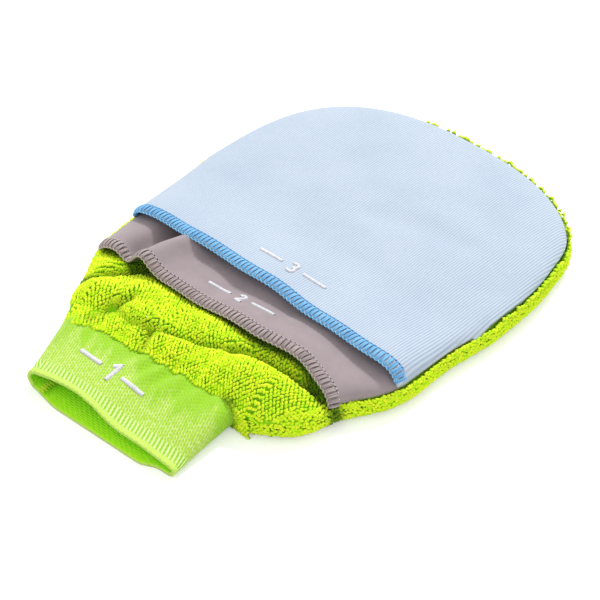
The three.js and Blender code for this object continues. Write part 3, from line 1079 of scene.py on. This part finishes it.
def makeHem(layer, threadFinishName, rng):
    o = overlock
    half = layers[layer]["thick"] / 2
    x = hemRun(layer, o["pitch"])
    frames = hemFrames(layer, x)
    frames[:, :3, 3] -= frames[:, :3, 2] * half * mm
    template = strandTemplate(o["width"], o["strand"], o["slant"], half)
    everyStrand, tints = [], []
    for strand in range(o["strands"]):
        shift = (strand - (o["strands"] - 1) / 2) * o["spread"]
        moved = frames.copy()
        wander = rng.uniform(-0.07, 0.07, len(x)) + shift
        moved[:, :3, 3] += moved[:, :3, 0] * (wander * mm)[:, None]
        moved[:, :3, 3] += moved[:, :3, 2] * (rng.uniform(-0.05, 0.08, len(x)) * mm)[:, None]
        everyStrand.append(moved)
        tints.append(rng.uniform(0, 0.45, len(x)))
    bars = copiesOf(layer + "_bars", template, np.concatenate(everyStrand), np.concatenate(tints))
    fine = hemRun(layer, o["pitch"] / o["purlSteps"])
    edge = hemFrames(layer, fine)
    phase = np.arange(len(fine)) * 2 * math.pi / o["purlSteps"]
    purl = edge[:, :3, 3] - edge[:, :3, 2] * (half * mm)
    purl += edge[:, :3, 1] * ((-0.45 + 0.22 * np.cos(phase)) * mm)[:, None]
    purl += edge[:, :3, 2] * ((0.3 * np.sin(phase)) * mm)[:, None]
    purlPiece = meshObject(layer + "_purl", tubeMesh(purl, o["purlRadius"] * mm))
    markAttributes(purlPiece, 0.0, 1.0)
    hem = joinPieces(layer + "_hem_overlock", [bars, purlPiece])
    return paint(hem, finishes[threadFinishName])


def markAttributes(piece, tint, lift):
    for name, value in (("tint", tint), ("lift", lift)):
        storeShare(piece.data, name, np.full(len(piece.data.vertices), value))


def makeNeedleLine(layer, threadFinishName, holeShadeFinishName):
    o = overlock
    steps = o["needleSteps"]
    x = hemRun(layer, o["pitch"] / steps)[4:-4]
    frames = hemFrames(layer, x, o["needleInset"])
    phase = np.arange(len(x)) * 2 * math.pi / steps
    dip = 0.2 - 0.5 * np.maximum(0, np.cos(phase)) ** 2
    line = frames[:, :3, 3] + frames[:, :3, 2] * (dip * mm)[:, None]
    thread = meshObject(layer + "_needle", tubeMesh(line, o["needleRadius"] * mm))
    markAttributes(thread, 0.0, 1.0)
    paint(thread, finishes[threadFinishName])
    # painted shade: each needle hole is a flat dark pit laid on the cloth
    pit = bmesh.new()
    bmesh.ops.create_icosphere(pit, subdivisions=2, radius=0.5 * mm)
    bmesh.ops.scale(pit, vec=(1.6, 0.8, 0.3), verts=pit.verts[:])
    holes = copiesOf(layer + "_holes", freshMesh("pit", pit), frames[::steps], np.zeros(len(frames[::steps])))
    paint(holes, finishes[holeShadeFinishName])
    return joinPieces(layer + "_needle_thread", [thread, holes])


greyHemPiece = makeHem("grey", "greyThread", rng)
blueHemPiece = makeHem("blue", "blueThread", rng)
greyNeedle = makeNeedleLine("grey", "greyNeedle", "holeShade")
blueNeedle = makeNeedleLine("blue", "blueThread", "blueHoleShade")
print("hems made")


# Cuff

def cuffSection(arc, station):
    # flat-sided oval by its arc length; arc 0 to 1 starts at the left of the upper side
    c = cuff
    share = np.clip(station / cuffEnd, 0, 1.3)
    left = c["leftMouth"] + (c["leftNeck"] - c["leftMouth"]) * share
    right = c["rightMouth"] + (c["rightNeck"] - c["rightMouth"]) * share
    radius = c["height"] / 2
    flat = right - left - c["height"]
    bend = math.pi * radius
    run = (arc % 1.0) * 2 * (flat + bend)
    middle, half = (left + right) / 2, flat / 2
    rightTurn = np.clip((run - flat) / radius, 0, math.pi)
    leftTurn = np.clip((run - 2 * flat - bend) / radius, 0, math.pi)
    sides = [run < flat, run < flat + bend, run < 2 * flat + bend]
    upperX, lowerX = middle - half + run, middle + half - (run - flat - bend)
    rightX, leftX = middle + half + radius * np.sin(rightTurn), middle - half - radius * np.sin(leftTurn)
    x = np.select(sides, [upperX, rightX, lowerX], leftX)
    up = np.select(sides, [1.0, np.cos(rightTurn), -1.0], -np.cos(leftTurn))
    out = np.select(sides, [0.0, np.sin(rightTurn), 0.0], -np.sin(leftTurn))
    return x, up, out, run


def cuffPlace(u, v):
    c = cuff
    station = v * c["end"]
    x, up, out, run = cuffSection((u + 1) / 2, station)
    band = smooth(2.6, 3.6, station) * (1 - smooth(c["band"] - 1.2, c["band"], station))
    rib = np.cos(run * 2 * math.pi / c["ribPitch"])
    puff = c["ribDepth"] * rib * band + 0.35 * bump(station, 1.2, 1.1)
    height = cuffTop(x, station) - 1.6 * smooth(20, 38, x) * (1 - smooth(4, 18, station))
    middle = height / 2
    z = np.maximum(middle + up * (middle + puff), 0.15)
    x = x + out * puff
    skewed = station + c["skew"] * x * (1 - 0.2 * v)
    skewed = skewed + c["upperLip"] * bump(x, -16, 14) * (1 - smooth(0, 12, station)) * np.clip(up, 0, 1)
    lip = smooth(-40, -20, x) * (1 - smooth(24, 34, x)) * np.clip(-up, 0, 1)
    skewed = skewed - c["lowerLip"] * lip * (1 - smooth(0, 24, station))
    return toRow(x, skewed, z), np.stack([run, station], axis=-1)


def closeRound(mesh):
    # the first and last columns meet on the left edge
    shape = bmesh.new()
    shape.from_mesh(mesh)
    bmesh.ops.remove_doubles(shape, verts=shape.verts[:], dist=0.02 * mm)
    bmesh.ops.recalc_face_normals(shape, faces=shape.faces[:])
    shape.to_mesh(mesh)
    shape.free()


cuffMesh = gridMesh("cuff_cloth", cuff["around"], cuff["along"], cuffPlace)
closeRound(cuffMesh)
cuffPiece = meshObject("cuff_cloth", cuffMesh)
paint(cuffPiece, finishes["knit"], finishes["knitInside"])
shadeSmooth(cuffMesh)
thicken(cuffPiece, cuff["wall"], backSlot=1)
print("cuff made")


# Wrist seam, cuff seam and side seam, all turned inside

# tint and lift paint each seam's core thread partway towards its thread's shade colour: painted shade
seams = {
    "side": {"core": 0.7, "ring": (1.2, 0.85, 0.28), "tint": 0.5, "lift": 0.4, "pitch": 1.3, "inset": 6.0},
    "wrist": {
        "core": 0.6, "ring": (1.7, 0.6, 0.26), "tint": 0.5, "lift": 0.4,
        "count": 150, "pastCuff": 4.0, "inset": 3.1,
    },
    "cuff": {
        "core": 0.75, "ring": (1.7, 0.8, 0.34), "tint": 0.3, "lift": 0.7,
        "count": 24, "x": -31.0, "height": 3.1,
    },
}


def ringTemplate(long, high, radius):
    # one turn of overlock thread round a seam's bundled edges
    angles = np.linspace(0, 2 * math.pi, 10, endpoint=False)
    turn = [(0.35 * math.sin(a), math.cos(a) * long, math.sin(a) * high) for a in angles]
    return tubeMesh([Vector(p) * mm for p in turn], radius * mm, cyclic=True)


def makeSeam(name, points, normals, across, settings, rng, cyclic=False):
    s = settings
    frames = framesAt(points, normals, across)
    rings = copiesOf(name + "_rings", ringTemplate(*s["ring"]), frames, rng.uniform(0, 1, len(frames)))
    core = meshObject(name + "_core", tubeMesh(points, s["core"] * mm, cyclic=cyclic))
    markAttributes(core, s["tint"], s["lift"])
    return paint(joinPieces(name, [rings, core]), finishes["greenThread"])


def makeSideSeam(rng):
    s = seams["side"]
    points, outward, _ = perimeter(s["pitch"])
    spots = points - outward * s["inset"]
    places = toRow(spots[:, 0], spots[:, 1], np.full(len(spots), terry["seamHeight"]))
    up = np.tile([0.0, 0.0, 1.0], (len(spots), 1))
    return makeSeam("side_seam_thread", places, up, sideways(outward), s, rng)


def makeWristSeam(rng):
    s = seams["wrist"]
    stations = np.full(s["count"], cuffEnd + s["pastCuff"])
    x, up, out, _ = cuffSection(np.linspace(0, 1, s["count"], endpoint=False), stations)
    height = cuffTop(x, stations)
    z = height / 2 + up * (height / 2 - s["inset"])
    x = x - out * s["inset"]
    places = toRow(x, stations + cuff["skew"] * x, np.maximum(z, 3.2))
    inwards = np.stack([-out, np.zeros(s["count"]), -up], axis=-1)
    along = np.tile([0.0, 1.0, 0.0], (s["count"], 1))
    return makeSeam("wrist_seam_thread", places, inwards, along, s, rng, cyclic=True)


def makeCuffSeam(rng):
    # lies on the lower wall and ends in a loose tail at the mouth
    s = seams["cuff"]
    stations = np.linspace(-1.2, cuffEnd + 1, s["count"])
    x = np.full(s["count"], s["x"]) - 0.1 * stations
    z = np.full(s["count"], s["height"]) + 0.5 * bump(stations, 0, 3)
    places = toRow(x, stations + cuff["skew"] * x, z)
    up = np.tile([0.0, 0.0, 1.0], (s["count"], 1))
    across = np.tile([1.0, 0.0, 0.0], (s["count"], 1))
    return makeSeam("cuff_seam_thread", places, up, across, s, rng)


sideSeam = makeSideSeam(rng)
wristSeam = makeWristSeam(rng)
cuffSeam = makeCuffSeam(rng)
print("seams made")


# Embroidered numbers

def arcPoints(x, y, radius, start, end, count=12):
    turn = np.linspace(math.radians(start), math.radians(end), count)
    return [(x + radius * math.cos(a), y + radius * math.sin(a)) for a in turn]


figures = {
    1: (0.3, [[(0, 0.76), (0.3, 1.0), (0.3, 0.0)]]),
    2: (0.56, [arcPoints(0.27, 0.73, 0.27, 171, -36) + [(0, 0), (0.56, 0)]]),
    3: (0.52, [arcPoints(0.26, 0.75, 0.25, 153, -90), arcPoints(0.26, 0.26, 0.26, 90, -153)]),
}
marks = {
    "cuff": {"figure": 1, "width": 38, "height": 11, "stroke": 1.8, "x": -11.5, "station": 18.5, "tilt": 1},
    "grey": {"figure": 2, "width": 36, "height": 6.6, "stroke": 1.35, "x": 0.5, "station": 81.0, "tilt": 6},
    "blue": {"figure": 3, "width": 37, "height": 7.8, "stroke": 1.45, "x": 5, "station": 107.5, "tilt": 3},
}
satin = {"spacing": 0.34, "radius": 0.21, "rise": 0.5, "gap": 3.0}


def strokePoints(points, spacing):
    points = np.array(points, float)
    length = np.concatenate([[0], np.cumsum(np.hypot(*np.diff(points, axis=0).T))])
    steps = np.linspace(0, length[-1], max(2, int(length[-1] / spacing)))
    spots = np.stack([np.interp(steps, length, points[:, i]) for i in range(2)], axis=-1)
    heading = np.gradient(spots, axis=0)
    return spots, np.arctan2(heading[:, 1], heading[:, 0])


def satinTemplate(stroke, radius, rise):
    # one thread laid across a stroke, pulled down at both edges
    half = stroke / 2
    path = [
        (-half, 0, -0.15), (-half * 0.8, 0, rise * 0.6), (0, 0, rise), (half * 0.8, 0, rise * 0.6),
        (half, 0, -0.15),
    ]
    return tubeMesh([Vector(p) * mm for p in path], radius * mm)


def makeMark(name, settings, height, rng):
    s = settings
    size = s["height"] - s["stroke"]
    width, lines = figures[s["figure"]]
    half = width * size / 2
    inner = half + s["stroke"] + satin["gap"]
    outer = s["width"] / 2 - s["stroke"] / 2
    strokes = [[(-outer, 0), (-inner, 0)], [(inner, 0), (outer, 0)]]
    strokes += [[(x * size - half, (y - 0.5) * size) for x, y in line] for line in lines]
    tilt = math.radians(s["tilt"])
    frames = []
    for stroke in strokes:
        spots, heading = strokePoints(stroke, satin["spacing"])
        x = s["x"] + spots[:, 0] * math.cos(tilt) - spots[:, 1] * math.sin(tilt)
        station = s["station"] + spots[:, 0] * math.sin(tilt) + spots[:, 1] * math.cos(tilt)
        frames.append(heightFrames(height, x, station, heading + tilt))
    frames = np.concatenate(frames)
    frames = spun(frames, rng.uniform(-0.06, 0.06, len(frames)))
    template = satinTemplate(s["stroke"], satin["radius"], satin["rise"])
    mark = copiesOf(name, template, frames, rng.uniform(0, 0.35, len(frames)))
    return paint(mark, finishes["whiteThread"])


def cuffMarkHeight(x, station):
    return cuffTop(x, station - cuff["skew"] * x)


cuffMark = makeMark("cuff_number_stitch", marks["cuff"], cuffMarkHeight, rng)
greyMark = makeMark("polishing_number_stitch", marks["grey"], greyTop, rng)
blueMark = makeMark("glass_number_stitch", marks["blue"], blueTop, rng)
print("numbers made")


# What each piece rides on

wristPieces = [
    (frontGround, "terry", ["front_panel"]), (frontPile, "terry", []), (coveredPile, "terry", []),
    (frontRim, "terry", []), (backGround, "terry", ["back_panel"]), (backRim, "terry", []),
    (underPile, "terry", []), (cuffPiece, "cuff_knit", ["cuff_webbing"]),
    (cuffSeam, "green_thread", ["cuff_side_seam"]), (wristSeam, "green_thread", ["cuff_joining_seam"]),
    (cuffMark, "white_thread", ["cuff_numeral"]),
]
for piece, slot, nodes in wristPieces:
    foldWithCuff(piece)
    label(nodes)
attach(sideSeam, "pocket")
label(["side_seam"])
layerPieces = {
    "polishing": [(greySheet, "suede_cloth", "panel"), (greyHemPiece, "grey_thread", "hem_overlock"),
                  (greyNeedle, "grey_thread", "needle_thread"), (greyMark, "white_thread", "numeral")],
    "glass": [(blueSheet, "glass_cloth", "panel"), (blueHemPiece, "blue_thread", "hem_overlock"),
              (blueNeedle, "blue_thread", "needle_thread"), (blueMark, "white_thread", "numeral")],
}
for layer, pieces in layerPieces.items():
    for piece, slot, part in pieces:
        liftWithLayer(piece, layer + "_layer")
        label([layer + "_" + part])

# Floor, light and camera

stage = {
    "floorSize": 3.0, "floorTone": (0.82, 0.82, 0.82, 1), "floorGlow": 0.34,
    "sun": 2.1, "sunTravel": (0.22, -0.62, -0.75), "sunAngle": 0.16, "sky": 0.96,
}
camera = {
    "azimuth": 43.34, "elevation": 41.85, "distance": 764.6, "target": (12.25, 104.3, 10.0), "roll": 0.2,
    "lens": 108.0,
}


def makeFloor():
    slab = bmesh.new()
    bmesh.ops.create_grid(slab, x_segments=1, y_segments=1, size=stage["floorSize"])
    floor = meshObject("floor", freshMesh("floor", slab))
    floor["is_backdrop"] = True
    finish = bpy.data.materials.new("paleFloor")
    finish.use_nodes = True
    tree = finish.node_tree
    tree.nodes.clear()
    rays = addNode(tree, "ShaderNodeLightPath")
    seen = mathNode(tree, "MAXIMUM", rays.outputs["Is Camera Ray"], rays.outputs["Is Glossy Ray"])
    matt = addNode(tree, "ShaderNodeBsdfDiffuse", {"Color": stage["floorTone"]})
    glow = addNode(tree, "ShaderNodeEmission", {"Strength": scaled(tree, seen, stage["floorGlow"])})
    both = addNode(tree, "ShaderNodeAddShader", {0: matt.outputs[0], 1: glow.outputs[0]})
    output = addNode(tree, "ShaderNodeOutputMaterial")
    tree.links.new(both.outputs[0], output.inputs[0])
    floor.data.materials.append(finish)


def makeLight():
    world = bpy.data.worlds.new("studio")
    bpy.context.scene.world = world
    world.use_nodes = True
    tree = world.node_tree
    tree.nodes.clear()
    rays = addNode(tree, "ShaderNodeLightPath")
    level = addNode(tree, "ShaderNodeMix", {0: rays.outputs["Is Camera Ray"], 2: stage["sky"], 3: 1.0})
    sky = addNode(tree, "ShaderNodeBackground", {"Color": (1, 1, 1, 1), "Strength": level.outputs[0]})
    output = addNode(tree, "ShaderNodeOutputWorld")
    tree.links.new(sky.outputs[0], output.inputs[0])
    lamp = bpy.data.lights.new("window", "SUN")
    lamp.energy = stage["sun"]
    lamp.angle = stage["sunAngle"]
    holder = meshObject("window", lamp)
    holder.rotation_mode = "QUATERNION"
    holder.rotation_quaternion = Vector(stage["sunTravel"]).to_track_quat("-Z", "Y")


def makeCamera():
    c = camera
    data = bpy.data.cameras.new("camera")
    data.lens = c["lens"]
    data.sensor_width = 36
    data.clip_start = 0.01
    data.clip_end = 10
    view = meshObject("camera", data)
    turn, tilt = math.radians(c["azimuth"]), math.radians(c["elevation"])
    back = Vector((math.sin(turn) * math.cos(tilt), -math.cos(turn) * math.cos(tilt), math.sin(tilt)))
    target = Vector(toRow(*[np.float64(v) for v in c["target"]]))
    view.location = target + back * c["distance"] * mm
    view.rotation_mode = "QUATERNION"
    look = (-back).to_track_quat("-Z", "Y")
    view.rotation_quaternion = look @ Matrix.Rotation(math.radians(c["roll"]), 3, "Z").to_quaternion()
    bpy.context.scene.camera = view


makeFloor()
makeLight()
makeCamera()
bpy.context.scene.view_settings.view_transform = "Standard"

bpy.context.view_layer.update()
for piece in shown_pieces():
    if piece.type == "MESH":
        piece.data.calc_loop_triangles()
        print("triangles", piece.name, len(piece.data.loop_triangles))
